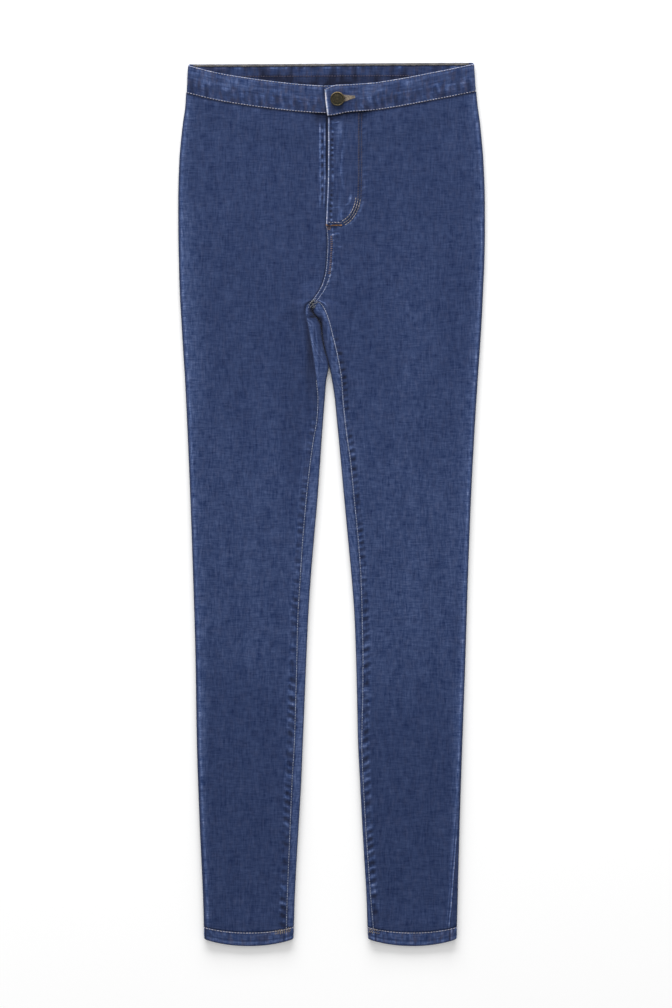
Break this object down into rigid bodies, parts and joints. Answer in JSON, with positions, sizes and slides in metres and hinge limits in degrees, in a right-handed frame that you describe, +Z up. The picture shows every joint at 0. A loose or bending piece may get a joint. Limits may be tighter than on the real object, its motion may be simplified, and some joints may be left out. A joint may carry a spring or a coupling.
{
  "type": "skinny jeans",
  "caption": "High-waisted skinny jeans in dark denim, laid flat on their back with the front up and the waist buttoned.",
  "frame": {"origin": "middle of the bounding box's underside, on the surface that the jeans lie on", "axes": "+Y from the hems up to the waist, +X to the wearer's left, +Z up, out of the front"},
  "size_m": [0.3634, 1.047, 0.0114],
  "materials": {
    "denim": "dark indigo stretch denim twill, matt, paler along its seams and folds",
    "denim_band": "the same denim in several layers, paler along its edges",
    "button_metal": "dark antique brass, satin",
    "zip_tape": "navy woven tape with dark brass teeth"
  },
  "bodies": {
    "root": {"front_right": "denim", "front_left": "denim", "back_right": "denim", "back_left": "denim", "waistband": "denim_band", "hem_right": "denim_band", "hem_left": "denim_band", "button": "button_metal", "zip": "zip_tape"}
  },
  "joints": []
}
